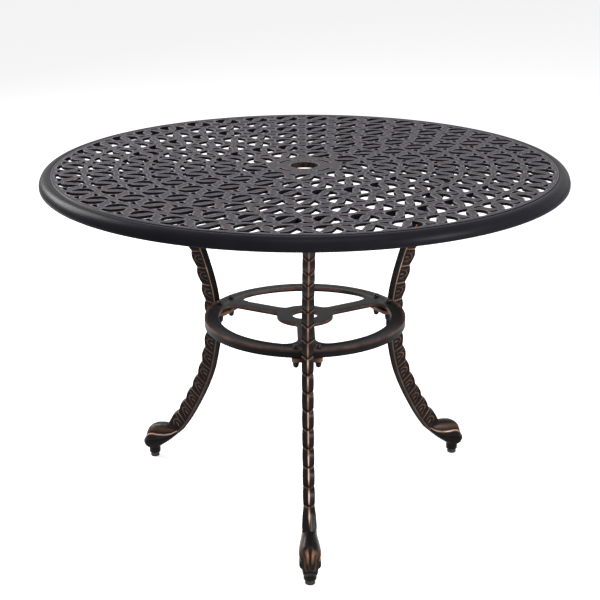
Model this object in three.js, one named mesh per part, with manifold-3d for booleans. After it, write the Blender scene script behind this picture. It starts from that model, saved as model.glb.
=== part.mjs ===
// A round umbrella table: a pierced cast top on three bowed legs, with a ring between the
// legs and a levelling foot under each hoof. Millimetres, +Z up, the origin on the floor
// under the middle of the top. The front leg stands on the -Y side.

import * as THREE from 'three';
import { mergeVertices } from 'three/addons/utils/BufferGeometryUtils.js';
import Module from 'manifold-3d';

const wasm = await Module();
wasm.setup();

// Whole table
const tableHeight = 732;
const topRadius = 533.4;
const seatGap = 0.3; // left wherever two pieces touch
const cutOverrun = 1; // how far a cutter runs past the face it opens
const topSides = 72; // facets round the top
const ringSides = 60; // facets round the ring between the legs
const boreSides = 8; // facets round bolts, washers and their holes
const footSides = 16; // facets round a glide and its boss

// Pierced top
const plateThickness = 4.5;
const ribDepth = 12; // from the top face to the lower edge of a rib
const ribWidth = 8;
const ribSides = 60;
const hubRadius = 71.3;
const umbrellaHoleRadius = 28.5;
const umbrellaHoleWall = 6;
const umbrellaHoleSides = 30;
const cellsPerRing = [9, 18, 22, 29, 33, 38, 42];
const innerRibRing = 2; // the ribs run outside these rings of cells
const outerRibRing = 5;
const cellBand = 9; // solid band between two rings of cells
const cellWidthShare = 0.75; // of the spacing along a ring
const leafPhaseShare = 0.42; // of the spacing, back from the pattern's bearing
const patternBearing = 88.8; // degrees, where each ring of cells starts
const slitRadius = 55;
const slitWidth = 5;
const slitTurns = [-48, 48, 132, 228]; // degrees from the pattern's bearing
const slitSweep = 36;
const plugHoleRadius = 2.5;
const plugHoleCircle = 45.5;
const plugHoleTurns = [-16, 16, 164, 196];

// One opening beside a leaf, in shares of a cell's half width and half length
const openingShares = [[-0.68, 0.45], [-0.95, -0.6], [0.5, -0.95], [-0.08, -0.6]];

// Rim band
const rimWidth = 28.2;
const rimHeight = 25;
const rimWall = 4;
const rimLedgeWidth = 5;
const rimLedgeThickness = 4;

// Outside of the rim, in shares of its width and height from its inner lower corner
const rimOutsideShares = [[1, 0.06], [1, 0.36], [0.93, 0.66], [0.78, 0.86], [0.52, 0.97], [0.2, 1]];

// Leg
const legBearings = { front: 270, right: 30, left: 150 };
const legSpacing = 120; // degrees from one leg to the next
const footRadius = 397; // from the middle of the table to each foot
const waistRadius = 227;
const waistHeight = 370;
const neckSetback = 60; // the hoof's neck, in from the foot
const neckHeight = 85;
const legInnerDepth = 13.5; // spine to the inner face
const legOuterDepth = 15; // spine to the notches outside
const legSwellShare = 0.2; // of both depths, gained from the waist down to the neck
const legShoulderDrop = 5; // ridge of the outer face to its edges
const lobeRise = 4.5;
const legWidth = 24;
const lobeFlare = 2;
const innerFaceTaper = 4;
const lobeCount = 17;
const hoofLobeLength = 43;

// The spine above and below the waist, in shares of its reach out and its rise or fall
const upperSpineShares = [
  [0.01, 0.072], [0.055, 0.188], [0.143, 0.318], [0.256, 0.445], [0.475, 0.615], [0.72, 0.765], [1, 1],
];
const lowerSpineShares = [
  [1, 1], [0.761, 0.877], [0.531, 0.73], [0.327, 0.579], [0.177, 0.439], [0.08, 0.298], [0.018, 0.158],
];

// Hoof
const hoofHeelSetback = 72; // heel, in from the foot
const hoofToeReach = 28; // toe, out from the foot
const hoofTop = 88;
const hoofSole = 20.5;
const hoofWidth = 45;

// Stations from heel to toe: place along the hoof, sole, crown and width in shares
const hoofStationShares = [
  [0, 0.83, 1, 0.5], [0.16, 0.58, 1, 0.6], [0.31, 0.37, 1, 0.75], [0.48, 0.19, 1, 0.88],
  [0.63, 0.02, 0.96, 1], [0.76, 0, 0.83, 0.98], [0.85, 0, 0.66, 0.9], [0.9, 0, 0.45, 0.78],
  [0.91, 0, 0.3, 0.74], [0.97, 0, 0.25, 0.66], [1, 0.05, 0.16, 0.45],
];

// Half of a hoof section, sole to crown: out and up in shares of the half width and height
const hoofSectionShares = [[0.5, 0], [1, 0.45], [0.68, 0.82]];

// Joints of the legs with the top and with the ring
const boltSpacing = 44.7;
const boltRadius = 3;
const boltHeadRadius = 5.8;
const boltHeadHeight = 4;
const topBossRadius = 6.5;
const topBoltGrip = 8; // length of bolt in the top's boss
const washerRadius = 6.2;
const washerThickness = 1.4;
const flangeWidth = 62;
const flangeDepth = 44;
const flangeThickness = 7;
const flangeCorner = 6;
const bracketThickness = 8;
const bracketInnerReach = 14; // bracket past the ring's bolts, towards the middle
const bracketOuterReach = 18;
const bracketCorner = 8;
const bracketNeckWidth = 20;

// Ring between the legs
const ringTopHeight = 412;
const ringPlateThickness = 8;
const ringSkirtHeight = 18.7;
const ringSkirtWall = 4;
const ringBandWidth = 30;
const ringLegGap = 4;
const ringBossRadius = 8;
const eyeRadius = 59;
const eyeHoleRadius = 27.5;
const spokeWidth = 36;
const spokeEyeFillet = 8;
const spokeRingFillet = 25;
const nutRadius = 6.5;
const nutHeight = 15;
const nutDomeHeight = 7;
const roundHeadRadius = 6;
const roundHeadHeight = 2.6;

// Levelling feet
const glideRadius = 10;
const glideHeight = 9.7;
const glideBase = 4; // solid thickness under the stem
const glideChamfer = 1.5;
const stemRadius = 4;
const stemLength = 32;
const stemBossRadius = 13;
const stemBossHeight = 34;
const stemHeadroom = 2;

// Places that follow from the sizes above
const plateBottom = tableHeight - plateThickness;
const ribBottom = tableHeight - ribDepth;
const latticeRadius = topRadius - rimWidth - seatGap;
const ringPitch = (latticeRadius - hubRadius) / cellsPerRing.length;
const ribRadius = (ring) => hubRadius + ring * ringPitch;
const legBoltRadius = ribRadius(outerRibRing);
const flangeTop = ribBottom - seatGap;
const flangeBottom = flangeTop - flangeThickness;
const spineTop = flangeTop - flangeThickness / 2;
const neckRadius = footRadius - neckSetback;
const bracketTop = ringTopHeight - ringSkirtHeight - seatGap;
const bracketBottom = bracketTop - bracketThickness;
const ringPlateBottom = ringTopHeight - ringPlateThickness;
const boreRadius = boltRadius + seatGap;

const radians = THREE.MathUtils.degToRad;

// A closed solid from a geometry, with shared corners merged and empty triangles dropped
function solid(geometry) {
  const bare = geometry.clone();
  bare.deleteAttribute('normal');
  bare.deleteAttribute('uv');
  const merged = mergeVertices(bare);
  const corners = merged.index.array;
  const kept = [];
  for (let i = 0; i < corners.length; i += 3) {
    const [a, b, c] = [corners[i], corners[i + 1], corners[i + 2]];
    if (a !== b && b !== c && c !== a) kept.push(a, b, c);
  }
  const vertProperties = new Float32Array(merged.attributes.position.array);
  const mesh = new wasm.Mesh({ numProp: 3, vertProperties, triVerts: new Uint32Array(kept) });
  mesh.merge();
  return new wasm.Manifold(mesh);
}

function geometryOf(body) {
  const mesh = body.getMesh();
  const geometry = new THREE.BufferGeometry();
  geometry.setAttribute('position', new THREE.BufferAttribute(new Float32Array(mesh.vertProperties), 3));
  geometry.setIndex(new THREE.BufferAttribute(new Uint32Array(mesh.triVerts), 1));
  return geometry;
}

const joined = (bodies) => bodies.reduce((whole, body) => whole.add(body));
const cut = (body, cutters) => cutters.reduce((rest, cutter) => rest.subtract(cutter), body);

// An upright prism over a flat outline
function prism(shape, bottom, top) {
  const geometry = new THREE.ExtrudeGeometry(shape, { depth: top - bottom, bevelEnabled: false });
  return geometry.translate(0, 0, bottom);
}

// A body turned about the upright axis, from a closed outline of [radius, height] points
function turned(outline, sides) {
  const points = outline.map(([radius, height]) => new THREE.Vector2(radius, height));
  return new THREE.LatheGeometry(points, sides).rotateX(Math.PI / 2);
}

function cylinder(x, y, bottom, top, radius, sides) {
  const outline = [[0, bottom], [radius, bottom], [radius, top], [0, top]];
  return turned(outline, sides).translate(x, y, 0);
}

// Points along an arc, bearings in degrees, both ends included
function arcPoints(x, y, radius, from, to, steps) {
  return Array.from({ length: steps + 1 }, (unused, i) => {
    const bearing = radians(from + (to - from) * (i / steps));
    return new THREE.Vector2(x + radius * Math.cos(bearing), y + radius * Math.sin(bearing));
  });
}

const circlePoints = (x, y, radius, sides) => arcPoints(x, y, radius, 0, 360, sides).slice(0, sides);

function roundedRectangle(x, y, length, width, corner) {
  const reachX = length / 2 - corner;
  const reachY = width / 2 - corner;
  const corners = [[1, 1, 0], [-1, 1, 90], [-1, -1, 180], [1, -1, 270]];
  const points = corners.flatMap(([signX, signY, from]) => (
    arcPoints(x + signX * reachX, y + signY * reachY, corner, from, from + 90, 3)));
  return new THREE.Shape(points);
}

// Two copies of one body, one each side of a leg's own plane
const pairOf = (geometry) => [-1, 1].map((side) => geometry.clone().translate(0, side * boltSpacing / 2, 0));

// The two openings beside the leaf of one cell, bent to the ring that the cell lies in
function cellOpenings(ringIndex, cellIndex) {
  const count = cellsPerRing[ringIndex];
  const middleRadius = ribRadius(ringIndex) + ringPitch / 2;
  const halfLength = (ringPitch - cellBand) / 2;
  const spacing = 360 / count;
  const bearing = patternBearing + (cellIndex - leafPhaseShare) * spacing;
  const halfSweep = cellWidthShare * spacing / 2;
  return [1, -1].map((side) => new THREE.Path(openingShares.map(([across, along]) => {
    const angle = radians(bearing + side * across * halfSweep);
    const radius = middleRadius + side * along * halfLength;
    return new THREE.Vector2(radius * Math.cos(angle), radius * Math.sin(angle));
  })));
}

// A curved slot through the hub plate
function slit(turn) {
  const middle = patternBearing + turn;
  const [from, to] = [middle - slitSweep / 2, middle + slitSweep / 2];
  const outside = arcPoints(0, 0, slitRadius + slitWidth / 2, from, to, 4);
  const inside = arcPoints(0, 0, slitRadius - slitWidth / 2, to, from, 4);
  return new THREE.Path([...outside, ...inside]);
}

function plugHole(turn) {
  const x = plugHoleCircle * Math.cos(radians(patternBearing + turn));
  const y = plugHoleCircle * Math.sin(radians(patternBearing + turn));
  return new THREE.Path(circlePoints(x, y, plugHoleRadius, 6));
}

// A circular rib under the plate, sunk a little into it so that the two are one casting
function rib(middleRadius, width, sides) {
  const [inside, outside] = [middleRadius - width / 2, middleRadius + width / 2];
  const top = plateBottom + plateThickness / 2;
  return turned([[inside, ribBottom], [outside, ribBottom], [outside, top], [inside, top], [inside, ribBottom]], sides);
}

// The places of the leg bolts in the top, from the middle of the table
function boltPlaces(radius) {
  return Object.values(legBearings).flatMap((bearing) => [-1, 1].map((side) => (
    new THREE.Vector2(radius, side * boltSpacing / 2).rotateAround(new THREE.Vector2(), radians(bearing)))));
}

// The pierced middle of the top
function tabletopLattice() {
  const plate = new THREE.Shape(circlePoints(0, 0, latticeRadius, topSides));
  plate.holes.push(new THREE.Path(circlePoints(0, 0, umbrellaHoleRadius, umbrellaHoleSides)));
  plate.holes.push(...slitTurns.map(slit), ...plugHoleTurns.map(plugHole));
  cellsPerRing.forEach((count, ringIndex) => {
    for (let cellIndex = 0; cellIndex < count; cellIndex += 1) {
      plate.holes.push(...cellOpenings(ringIndex, cellIndex));
    }
  });
  const bossTop = plateBottom + plateThickness / 2;
  const bosses = boltPlaces(legBoltRadius).map(({ x, y }) => (
    solid(cylinder(x, y, ribBottom, bossTop, topBossRadius, boreSides))));
  const bores = boltPlaces(legBoltRadius).map(({ x, y }) => (
    solid(cylinder(x, y, ribBottom - cutOverrun, ribBottom + topBoltGrip + seatGap, boreRadius, boreSides))));
  const holeWall = rib(umbrellaHoleRadius + umbrellaHoleWall / 2, umbrellaHoleWall, umbrellaHoleSides);
  const ribs = [innerRibRing, outerRibRing].map((ring) => rib(ribRadius(ring), ribWidth, ribSides));
  const casting = joined([prism(plate, plateBottom, tableHeight), holeWall, ...ribs].map(solid));
  return geometryOf(cut(joined([casting, ...bosses]), bores));
}

// The rounded band round the top, with a ledge that the pierced middle sits on
function tabletopRim() {
  const inside = topRadius - rimWidth;
  const bottom = tableHeight - rimHeight;
  const place = ([out, up]) => [inside + out * rimWidth, bottom + up * rimHeight];
  const ledgeTop = plateBottom - seatGap;
  const ledgeBottom = ledgeTop - rimLedgeThickness;
  const outline = [
    [inside - rimLedgeWidth, ledgeBottom],
    [topRadius - 2 * rimWall, ledgeBottom],
    [topRadius - rimWall, ledgeBottom - rimWall],
    [topRadius - rimWall, bottom],
    ...rimOutsideShares.map(place),
    [inside, tableHeight - plateThickness / 3],
    [inside, ledgeTop],
    [inside - rimLedgeWidth, ledgeTop],
  ];
  return turned([...outline, outline[0]], topSides);
}

// The line that a leg's sections are set on, from the hoof's neck to the flange
function legSpine() {
  const fall = waistHeight - neckHeight;
  const rise = spineTop - waistHeight;
  const lower = lowerSpineShares.map(([out, down]) => (
    [waistRadius + out * (neckRadius - waistRadius), waistHeight - down * fall]));
  const upper = upperSpineShares.map(([out, up]) => (
    [waistRadius + out * (legBoltRadius - waistRadius), waistHeight + up * rise]));
  const places = [...lower, [waistRadius, waistHeight], ...upper];
  return new THREE.CatmullRomCurve3(places.map(([radius, height]) => new THREE.Vector3(radius, 0, height)));
}

const spine = legSpine();

function spineRadiusAt(height) {
  const points = spine.getSpacedPoints(200);
  const above = points.findIndex((point) => point.z >= height);
  const [low, high] = [points[above - 1], points[above]];
  return THREE.MathUtils.mapLinear(height, low.z, high.z, low.x, high.x);
}

const ringRadius = spineRadiusAt(bracketTop) - legInnerDepth - ringLegGap;
const ringInnerRadius = ringRadius - ringBandWidth;
const ringBoltRadius = ringRadius - ringBandWidth / 2;

// A closed skin over a row of sections with the same number of points
function loft(sections) {
  const count = sections[0].length;
  const index = [];
  for (let i = 0; i + 1 < sections.length; i += 1) {
    for (let j = 0; j < count; j += 1) {
      const [a, b] = [i * count + j, i * count + (j + 1) % count];
      index.push(a, b, b + count, a, b + count, a + count);
    }
  }
  const last = (sections.length - 1) * count;
  for (let j = 1; j + 1 < count; j += 1) {
    index.push(0, j + 1, j);
    index.push(last, last + j, last + j + 1);
  }
  const geometry = new THREE.BufferGeometry().setFromPoints(sections.flat());
  return geometry.setIndex(index);
}

// One five-cornered section of a leg: flat inside, roof-shaped outside
function legSection(share, rise) {
  const place = spine.getPointAt(share);
  const along = spine.getTangentAt(share);
  const outward = new THREE.Vector3(along.z, 0, -along.x);
  const swell = 1 + legSwellShare * Math.max(0, 1 - 2 * share);
  const inner = legInnerDepth * swell;
  const ridge = legOuterDepth * swell + rise * lobeRise;
  const halfWidth = (legWidth + rise * lobeFlare) / 2;
  const innerHalf = (legWidth - innerFaceTaper) / 2;
  const corners = [
    [-inner, -innerHalf],
    [ridge - legShoulderDrop, -halfWidth],
    [ridge, 0],
    [ridge - legShoulderDrop, halfWidth],
    [-inner, innerHalf],
  ];
  return corners.map(([out, across]) => {
    const point = place.clone().addScaledVector(outward, out);
    return point.setY(across);
  });
}

// The bowed stem with a lobe between each two notches
function legStem() {
  const length = spine.getLength();
  const lobeLength = (length - hoofLobeLength) / lobeCount;
  const sections = [legSection(0, 0), legSection(hoofLobeLength / 2 / length, 1)];
  for (let lobe = 0; lobe < lobeCount; lobe += 1) {
    const start = hoofLobeLength + lobe * lobeLength;
    sections.push(legSection(start / length, 0), legSection((start + lobeLength / 2) / length, 1));
  }
  sections.push(legSection(1, 0));
  return loft(sections);
}

// The hoof, from its heel under the neck to the toe
function hoof() {
  const heel = footRadius - hoofHeelSetback;
  const length = hoofHeelSetback + hoofToeReach;
  const depth = hoofTop - hoofSole;
  const half = hoofSectionShares;
  const sections = hoofStationShares.map(([along, low, high, wide]) => {
    const bottom = hoofSole + low * depth;
    const height = (high - low) * depth;
    const corner = (side) => ([out, up]) => (
      new THREE.Vector3(heel + along * length, side * out * wide * hoofWidth / 2, bottom + up * height));
    const crown = new THREE.Vector3(heel + along * length, 0, bottom + height);
    return [...half.map(corner(1)), crown, ...[...half].reverse().map(corner(-1))];
  });
  return loft(sections);
}

// A whole leg in its own plane, with its hoof, ring bracket and flange as one casting
function leg() {
  const bossTop = glideHeight + seatGap + stemBossHeight;
  const bossBottom = glideHeight + seatGap;
  const bracketInside = ringBoltRadius - bracketInnerReach;
  const bracketOutside = ringBoltRadius + bracketOuterReach;
  const bracketLength = bracketOutside - bracketInside;
  const wings = roundedRectangle(
    bracketInside + bracketLength / 2, 0, bracketLength, flangeWidth, bracketCorner);
  const neckStart = bracketOutside - bracketCorner;
  const neckLength = spineRadiusAt(bracketBottom) - neckStart;
  const neck = new THREE.BoxGeometry(neckLength, bracketNeckWidth, bracketThickness);
  neck.translate(neckStart + neckLength / 2, 0, bracketTop - bracketThickness / 2);
  const flange = roundedRectangle(legBoltRadius, 0, flangeDepth, flangeWidth, flangeCorner);
  const casting = joined([
    legStem(),
    hoof(),
    cylinder(footRadius, 0, bossBottom, bossTop, stemBossRadius, footSides),
    prism(wings, bracketBottom, bracketTop),
    neck,
    prism(flange, flangeBottom, flangeTop),
  ].map(solid));
  const stemBore = cylinder(
    footRadius, 0, bossBottom - cutOverrun, glideBase + stemLength + stemHeadroom, stemRadius + seatGap, boreSides);
  const bolts = [
    ...pairOf(cylinder(legBoltRadius, 0, flangeBottom - cutOverrun, flangeTop + cutOverrun, boreRadius, boreSides)),
    ...pairOf(cylinder(ringBoltRadius, 0, bracketBottom - cutOverrun, bracketTop + cutOverrun, boreRadius, boreSides)),
  ];
  return geometryOf(cut(casting, [stemBore, ...bolts].map(solid)));
}

// The opening between two spokes, its edge running round the eye, a spoke, the ring and back
function sectorOpening(bearing) {
  const half = spokeWidth / 2;
  const ringFilletAcross = half + spokeRingFillet;
  const ringFilletAlong = Math.sqrt((ringInnerRadius - spokeRingFillet) ** 2 - ringFilletAcross ** 2);
  const eyeFilletAcross = half + spokeEyeFillet;
  const eyeFilletAlong = Math.sqrt((eyeRadius + spokeEyeFillet) ** 2 - eyeFilletAcross ** 2);
  const ringTurn = THREE.MathUtils.radToDeg(Math.atan2(ringFilletAcross, ringFilletAlong));
  const eyeTurn = THREE.MathUtils.radToDeg(Math.atan2(eyeFilletAcross, eyeFilletAlong));
  const points = [
    ...arcPoints(0, 0, eyeRadius, legSpacing - eyeTurn, eyeTurn, 5),
    ...arcPoints(eyeFilletAlong, eyeFilletAcross, spokeEyeFillet, 180 + eyeTurn, 270, 2).slice(1),
    ...arcPoints(ringFilletAlong, ringFilletAcross, spokeRingFillet, -90, ringTurn, 4),
    ...arcPoints(0, 0, ringInnerRadius, ringTurn, legSpacing - ringTurn, 14).slice(1),
  ];
  const mirrored = [
    ...arcPoints(ringFilletAlong, ringFilletAcross, spokeRingFillet, ringTurn, -90, 4).slice(1),
    ...arcPoints(eyeFilletAlong, eyeFilletAcross, spokeEyeFillet, 270, 180 + eyeTurn, 2).slice(0, -1),
  ].map(({ x, y }) => {
    const turn = radians(legSpacing) - Math.atan2(y, x);
    return new THREE.Vector2(Math.hypot(x, y) * Math.cos(turn), Math.hypot(x, y) * Math.sin(turn));
  });
  const middle = new THREE.Vector2();
  return new THREE.Path([...points, ...mirrored].map((point) => point.rotateAround(middle, radians(bearing))));
}

// The ring between the legs, with its spokes and the eye that holds the pole upright
function ringStretcher() {
  const plate = new THREE.Shape(circlePoints(0, 0, ringRadius, ringSides));
  plate.holes.push(new THREE.Path(circlePoints(0, 0, eyeHoleRadius, umbrellaHoleSides)));
  plate.holes.push(...Object.values(legBearings).map(sectorOpening));
  const skirtBottom = ringTopHeight - ringSkirtHeight;
  const skirtTop = ringTopHeight - ringPlateThickness / 2;
  const skirtInside = ringRadius - ringSkirtWall;
  const skirt = turned([
    [skirtInside, skirtBottom], [ringRadius, skirtBottom], [ringRadius, skirtTop],
    [skirtInside, skirtTop], [skirtInside, skirtBottom],
  ], ringSides);
  const places = boltPlaces(ringBoltRadius);
  const bosses = places.map(({ x, y }) => cylinder(x, y, skirtBottom, skirtTop, ringBossRadius, boreSides));
  const bores = places.map(({ x, y }) => (
    cylinder(x, y, skirtBottom - cutOverrun, ringTopHeight + cutOverrun, boreRadius, boreSides)));
  const casting = joined([prism(plate, ringPlateBottom, ringTopHeight), skirt, ...bosses].map(solid));
  return geometryOf(cut(casting, bores.map(solid)));
}

function washer(radius, bottom) {
  const top = bottom + washerThickness;
  const outline = [[boreRadius, bottom], [washerRadius, bottom], [washerRadius, top], [boreRadius, top]];
  return turned([...outline, outline[0]], boreSides).translate(radius, 0, 0);
}

const topWasherBottom = flangeBottom - seatGap - washerThickness;

// A hexagon bolt up through the flange into the top
function topBolt() {
  const headTop = topWasherBottom - seatGap;
  const tip = ribBottom + topBoltGrip;
  const head = cylinder(legBoltRadius, 0, headTop - boltHeadHeight, headTop, boltHeadRadius, 6);
  const shank = cylinder(legBoltRadius, 0, headTop - boltHeadHeight / 2, tip, boltRadius, boreSides);
  return geometryOf(joined([head, shank].map(solid)));
}

const upperWasherBottom = ringTopHeight + seatGap;
const lowerWasherBottom = bracketBottom - seatGap - washerThickness;
const nutTop = lowerWasherBottom - seatGap;
const nutBottom = nutTop - nutHeight;

// A round-headed bolt down through the ring and the leg's bracket into its nut
function ringBolt() {
  const seat = upperWasherBottom + washerThickness + seatGap;
  const tip = nutBottom + nutDomeHeight / 2 + seatGap;
  const crown = seat + roundHeadHeight;
  const shoulder = seat + roundHeadHeight / 2;
  return turned([
    [0, tip], [boltRadius, tip], [boltRadius, seat], [roundHeadRadius, seat],
    [roundHeadRadius, shoulder], [roundHeadRadius / 2, crown], [0, crown],
  ], boreSides).translate(ringBoltRadius, 0, 0);
}

// A domed nut, open above for the bolt
function domedNut() {
  const boreBottom = nutBottom + nutDomeHeight / 2;
  const shoulder = nutBottom + nutDomeHeight;
  return turned([
    [0, nutBottom], [nutRadius / 2, nutBottom + nutDomeHeight / 6], [nutRadius, shoulder], [nutRadius, nutTop],
    [boreRadius, nutTop], [boreRadius, boreBottom], [0, boreBottom],
  ], boreSides).translate(ringBoltRadius, 0, 0);
}

function levellingStem() {
  const bottom = glideBase + seatGap;
  return cylinder(footRadius, 0, bottom, bottom + stemLength, stemRadius, boreSides);
}

// The glide that the table stands on, hollow above for the stem
function glide() {
  const hollow = stemRadius + seatGap;
  return turned([
    [0, 0], [glideRadius - glideChamfer, 0], [glideRadius, glideChamfer], [glideRadius, glideHeight],
    [hollow, glideHeight], [hollow, glideBase], [0, glideBase],
  ], footSides).translate(footRadius, 0, 0);
}

// Finishes
const charcoalTop = new THREE.MeshStandardMaterial({ color: 0x6a6a70, roughness: 0.45, metalness: 0.4 });
const charcoalRim = new THREE.MeshStandardMaterial({ color: 0x3a3a3e, roughness: 0.4, metalness: 0.4 });
const bronzeLeg = new THREE.MeshStandardMaterial({ color: 0x2c2320, roughness: 0.45, metalness: 0.5 });
const bronzeRing = new THREE.MeshStandardMaterial({ color: 0x3a383c, roughness: 0.45, metalness: 0.5 });
const blackSteel = new THREE.MeshStandardMaterial({ color: 0x1a1a1c, roughness: 0.35, metalness: 0.7 });
const zincSteel = new THREE.MeshStandardMaterial({ color: 0x9a9ca0, roughness: 0.35, metalness: 0.9 });
const blackPlastic = new THREE.MeshStandardMaterial({ color: 0x161616, roughness: 0.55, metalness: 0 });

const table = new THREE.Group();

function add(name, geometry, material, bearing = 0) {
  const mesh = new THREE.Mesh(geometry, material);
  mesh.name = name;
  mesh.rotation.z = radians(bearing);
  table.add(mesh);
}

add('tabletop_rim', tabletopRim(), charcoalRim);
add('tabletop_lattice', tabletopLattice(), charcoalTop);
add('ring_stretcher', ringStretcher(), bronzeRing);

const oneLeg = leg();

// The fasteners of one leg, each a pair
const fasteners = {
  top_bolt: [topBolt(), zincSteel],
  top_washer: [washer(legBoltRadius, topWasherBottom), zincSteel],
  ring_bolt: [ringBolt(), blackSteel],
  ring_upper_washer: [washer(ringBoltRadius, upperWasherBottom), blackSteel],
  ring_lower_washer: [washer(ringBoltRadius, lowerWasherBottom), blackSteel],
  ring_nut: [domedNut(), blackSteel],
};

for (const [side, bearing] of Object.entries(legBearings)) {
  add(`${side}_leg`, oneLeg, bronzeLeg, bearing);
  for (const [name, [geometry, material]] of Object.entries(fasteners)) {
    pairOf(geometry).forEach((body, i) => add(`${side}_${name}_${i + 1}`, body, material, bearing));
  }
  add(`${side}_levelling_stem`, levellingStem(), zincSteel, bearing);
  add(`${side}_glide`, glide(), blackPlastic, bearing);
}

export default table;
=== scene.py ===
"""A round umbrella table in cast aluminium: pierced top, three bowed legs, ring, levelling feet."""

import math

import bmesh
import bpy
import numpy as np
from mathutils import Matrix, Vector
from mathutils.geometry import delaunay_2d_cdt


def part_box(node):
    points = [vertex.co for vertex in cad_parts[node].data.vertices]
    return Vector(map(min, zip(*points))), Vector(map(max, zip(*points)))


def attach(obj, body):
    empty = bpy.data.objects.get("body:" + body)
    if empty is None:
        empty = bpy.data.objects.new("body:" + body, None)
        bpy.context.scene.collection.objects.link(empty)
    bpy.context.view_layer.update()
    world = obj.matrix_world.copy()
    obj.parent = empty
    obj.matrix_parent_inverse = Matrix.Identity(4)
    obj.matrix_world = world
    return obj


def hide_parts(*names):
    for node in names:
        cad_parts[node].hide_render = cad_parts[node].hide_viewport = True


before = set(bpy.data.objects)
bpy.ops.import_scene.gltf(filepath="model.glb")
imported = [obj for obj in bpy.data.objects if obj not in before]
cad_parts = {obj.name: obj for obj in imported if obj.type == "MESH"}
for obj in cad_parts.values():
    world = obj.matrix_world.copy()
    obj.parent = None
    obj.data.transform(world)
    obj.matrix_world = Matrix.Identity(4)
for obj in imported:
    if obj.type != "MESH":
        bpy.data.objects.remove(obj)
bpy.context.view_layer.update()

# Pierced middle of the top: one aluminium casting, sand cast and powder coated, with seven
# rings of round cells that a slanting leaf crosses, a hub plate round the umbrella hole, two
# deep ribs below and bosses for the leg bolts. It sits on the rim's ledge.
mm = 0.001
top_low, top_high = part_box("tabletop_lattice")
top_face = top_high.z / mm
plate_thickness = 5.5
plate_bottom = top_face - plate_thickness
rib_bottom = top_low.z / mm
lattice_radius = top_high.x / mm
hub_radius = 71.3
cells_per_ring = [9, 18, 22, 29, 33, 38, 42]
ring_pitch = (lattice_radius - hub_radius) / len(cells_per_ring)
leaf_phase_share = 0.42
pattern_bearing = 88.8  # degrees, where each ring of cells starts
joint_band = 6.0  # flat band between two rings of cells
edge_round = 0.6  # the softened edge round every opening
lip_width = 3.2  # raised lip round every opening, edge included
lip_height = 0.8
edge_drop = 0.5
opening_draft = 1.1  # how much wider each side of an opening is at the face than below
opening_half_length = 25.6
grid_step = 6.5  # between the face's corners away from the lips
lip_clearance = 0.82  # of a lip corner's distance, how clear it stays of every opening
grid_clearance = 0.35  # of the grid's step, how clear of the lips its corners stay
outline_clearance = 0.9

# The opening beside a leaf: across in shares of a cell's spacing, along in shares of its half
# length
leaf_opening_shares = [
    (-0.228, 0.45), (-0.305, 0.19), (-0.352, -0.15), (-0.333, -0.49), (-0.262, -0.79),
    (-0.161, -0.97), (-0.056, -1.03), (0.06, -1.0), (0.150, -0.91), (0.146, -0.80),
    (0.06, -0.72), (-0.021, -0.60), (-0.067, -0.42), (-0.151, -0.01),
]
# The small opening between two cells, beside the outer band
web_opening_shares = [
    (0.395, 0.82), (0.43, 0.89), (0.53, 0.89), (0.625, 0.84), (0.64, 0.74), (0.553, 0.68),
    (0.475, 0.64), (0.45, 0.52), (0.41, 0.47), (0.382, 0.62),
]
# The line between a cell and its neighbour, through the solid web
cell_side_shares = [
    (0.76, 1.0), (0.758, 0.68), (0.66, 0.41), (0.58, 0.2), (0.5, 0.0),
    (0.42, -0.2), (0.34, -0.41), (0.242, -0.68), (0.24, -1.0),
]


def opposite(points):
    """The same points turned half way round."""
    return [(-x, -y) for x, y in points]


def gaps(points, loops):
    """How far each point lies from the nearest edge of the loops."""
    starts = np.array([p for loop in loops for p in loop], float)
    ends = np.array([p for loop in loops for p in [*loop[1:], loop[0]]], float)
    along = ends - starts
    away = np.array(points, float)[:, None] - starts
    reach = (away * along).sum(2) / (along ** 2).sum(1)
    nearest = np.clip(reach, 0, 1)[..., None] * along
    return np.sqrt(((away - nearest) ** 2).sum(2)).min(1)


def within(points, loop):
    """Whether each point lies inside the loop."""
    x, y = np.array(points, float).T
    inside = np.zeros(len(x), bool)
    for (x0, y0), (x1, y1) in zip(loop, [*loop[1:], loop[0]]):
        if y0 != y1:
            crosses = ((y0 > y) != (y1 > y)) & (x < (x1 - x0) * (y - y0) / (y1 - y0) + x0)
            inside ^= crosses
    return inside


def on_plate(points, outline, holes):
    """Whether each point lies inside the outline and outside the holes."""
    kept = within(points, outline)
    for hole in holes:
        kept &= ~within(points, hole)
    return kept


def beside(loop, distance):
    """Points at a distance outside a loop, one for each corner."""
    area = sum(a[0] * b[1] - b[0] * a[1] for a, b in zip(loop, [*loop[1:], loop[0]]))
    reach = distance if area > 0 else -distance
    points = []
    for before, here, after in zip([loop[-1], *loop[:-1]], loop, [*loop[1:], loop[0]]):
        along = (Vector(here) - Vector(before)).normalized()
        along = (along + (Vector(after) - Vector(here)).normalized()).normalized()
        points.append((here[0] + reach * along.y, here[1] - reach * along.x))
    return points


def triangulate(outline, holes, loose):
    """Corners and triangles of a flat plate, with the new number of every corner given."""
    points, edges = [], []
    for loop in [outline, *holes]:
        start, count = len(points), len(loop)
        points += loop
        edges += [(start + i, start + (i + 1) % count) for i in range(count)]
    points += loose
    corners, _, faces, origins, _, _ = delaunay_2d_cdt(
        [Vector(p) for p in points], edges, [], 0, 1e-5)
    middles = [tuple(sum((corners[i] for i in face), Vector((0, 0))) / 3) for face in faces]
    kept = on_plate(middles, outline, holes)
    number = {origin: i for i, group in enumerate(origins) for origin in group}
    return corners, [face for face, keep in zip(faces, kept) if keep], number


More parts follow.
